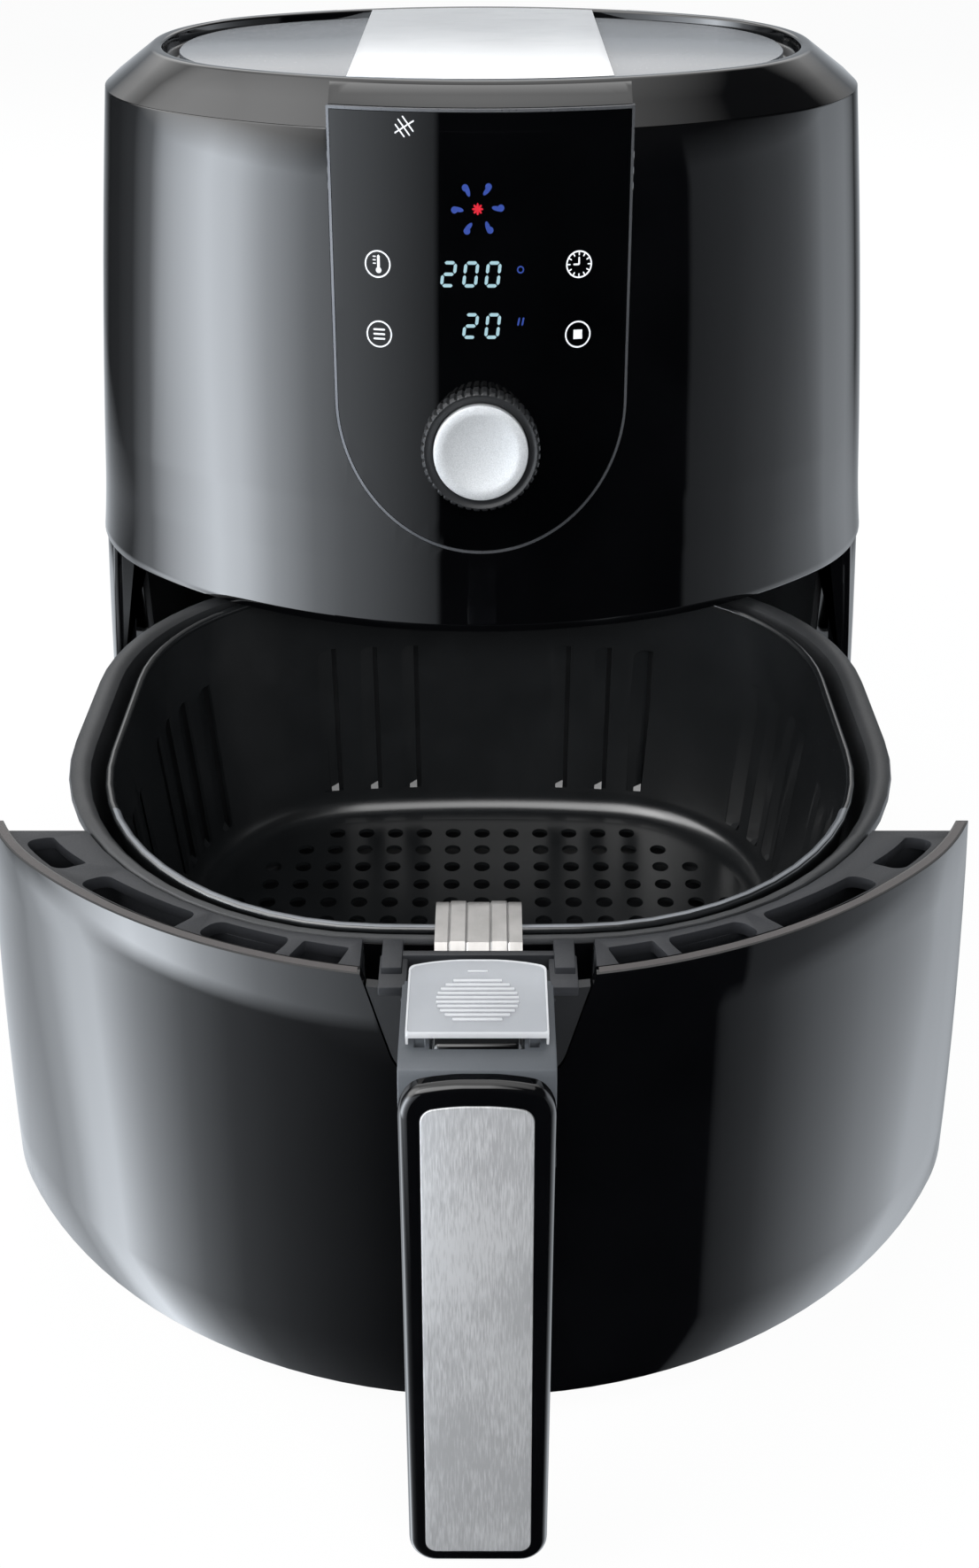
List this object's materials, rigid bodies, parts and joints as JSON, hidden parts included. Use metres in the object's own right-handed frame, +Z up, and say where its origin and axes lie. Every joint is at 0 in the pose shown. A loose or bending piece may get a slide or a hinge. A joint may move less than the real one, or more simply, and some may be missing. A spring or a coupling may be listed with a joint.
{
  "type": "air fryer",
  "caption": "Countertop air fryer with a rounded tapering housing, a turning dial, a hot-air fan and a pull-out drawer with pan, slotted basket and guarded release handle.",
  "frame": {"origin": "under the middle of the whole object's box with the drawer open, on the plane of the feet", "axes": "+Z up, -Y towards the user and the way the drawer opens, +X to the right seen from the back"},
  "size_m": [0.324, 0.5699, 0.323],
  "materials": {
    "gloss_black": "gloss",
    "matte_black": "matte",
    "panel_black": "gloss",
    "satin_grey": "satin",
    "brushed_steel": "brushed",
    "bright_metal": "polished",
    "satin_silver": "satin",
    "coated_sheet": "non-stick coating",
    "grey_sheet": "satin",
    "bright_sheet": "bright",
    "rubber": "matte",
    "clear_plastic": "clear",
    "board": "satin",
    "white_plastic": "satin",
    "spring_brass": "plain"
  },
  "bodies": {
    "housing": {"hood_shell": "gloss_black", "rear_shell": "gloss_black", "base_cover": "matte_black", "rubber_feet": "rubber", "housing_screws": "brushed_steel", "bay_liner": "matte_black", "top_cover": "gloss_black", "lid_panel": "satin_grey", "top_trim_plate": "brushed_steel", "control_panel": "panel_black", "panel_bezel": "bright_metal", "panel_head": "satin_grey", "encoder": "matte_black", "push_switch": "matte_black", "control_board": "board", "display_module": "white_plastic", "touch_pads": "spring_brass", "chamber_plate": "grey_sheet", "heat_shield": "bright_sheet", "heating_element": "brushed_steel", "element_guard": "brushed_steel", "motor_bracket": "brushed_steel", "fan_motor": "grey_sheet", "exhaust_grille": "matte_black", "cord_gland": "rubber", "power_board": "board", "drawer_switch": "matte_black", "temperature_probe": "brushed_steel"},
    "drawer": {"drawer_front": "gloss_black", "neck_plate": "matte_black", "drawer_frame": "matte_black", "pan": "coated_sheet", "basket": "coated_sheet", "basket_floor": "coated_sheet", "basket_clip": "brushed_steel", "handle_bracket": "matte_black", "release_spring": "brushed_steel", "handle_face": "gloss_black", "handle_inlay": "brushed_steel", "handle_core": "matte_black", "handle_screws": "brushed_steel"},
    "dial": {"dial_ring": "gloss_black"},
    "cap": {"push_cap": "satin_silver"},
    "rotor": {"convection_fan": "bright_sheet", "cooling_fan": "matte_black", "motor_shaft": "brushed_steel"},
    "guard": {"button_guard": "clear_plastic"},
    "release": {"release_button": "matte_black", "latch_hook": "matte_black"}
  },
  "joints": [
    {"name": "drawer_slide", "type": "slide", "parent": "housing", "child": "drawer", "axis": [0, -1, 0], "range_m": [-0.198, 0.07]},
    {"name": "dial_turn", "type": "hinge", "parent": "housing", "child": "dial", "pos_m": [0, 0.00932, 0.21], "axis": [0, -0.983, 0.1836], "continuous": true},
    {"name": "dial_push", "type": "slide", "parent": "housing", "child": "cap", "axis": [0, 0.983, -0.1836], "range_m": [0, 0.0012], "stiffness_N_per_m": 800, "springref_m": -0.0015},
    {"name": "fan_spin", "type": "hinge", "parent": "housing", "child": "rotor", "pos_m": [0, 0.1355, 0.2], "axis": [0, 0, 1], "continuous": true},
    {"name": "guard_slide", "type": "slide", "parent": "drawer", "child": "guard", "axis": [0, 1, 0], "range_m": [0, 0.02]},
    {"name": "release_press", "type": "slide", "parent": "drawer", "child": "release", "axis": [0, 0, -1], "range_m": [0, 0.0025], "stiffness_N_per_m": 800, "springref_m": -0.0025, "deforming": ["release_spring"]}
  ]
}
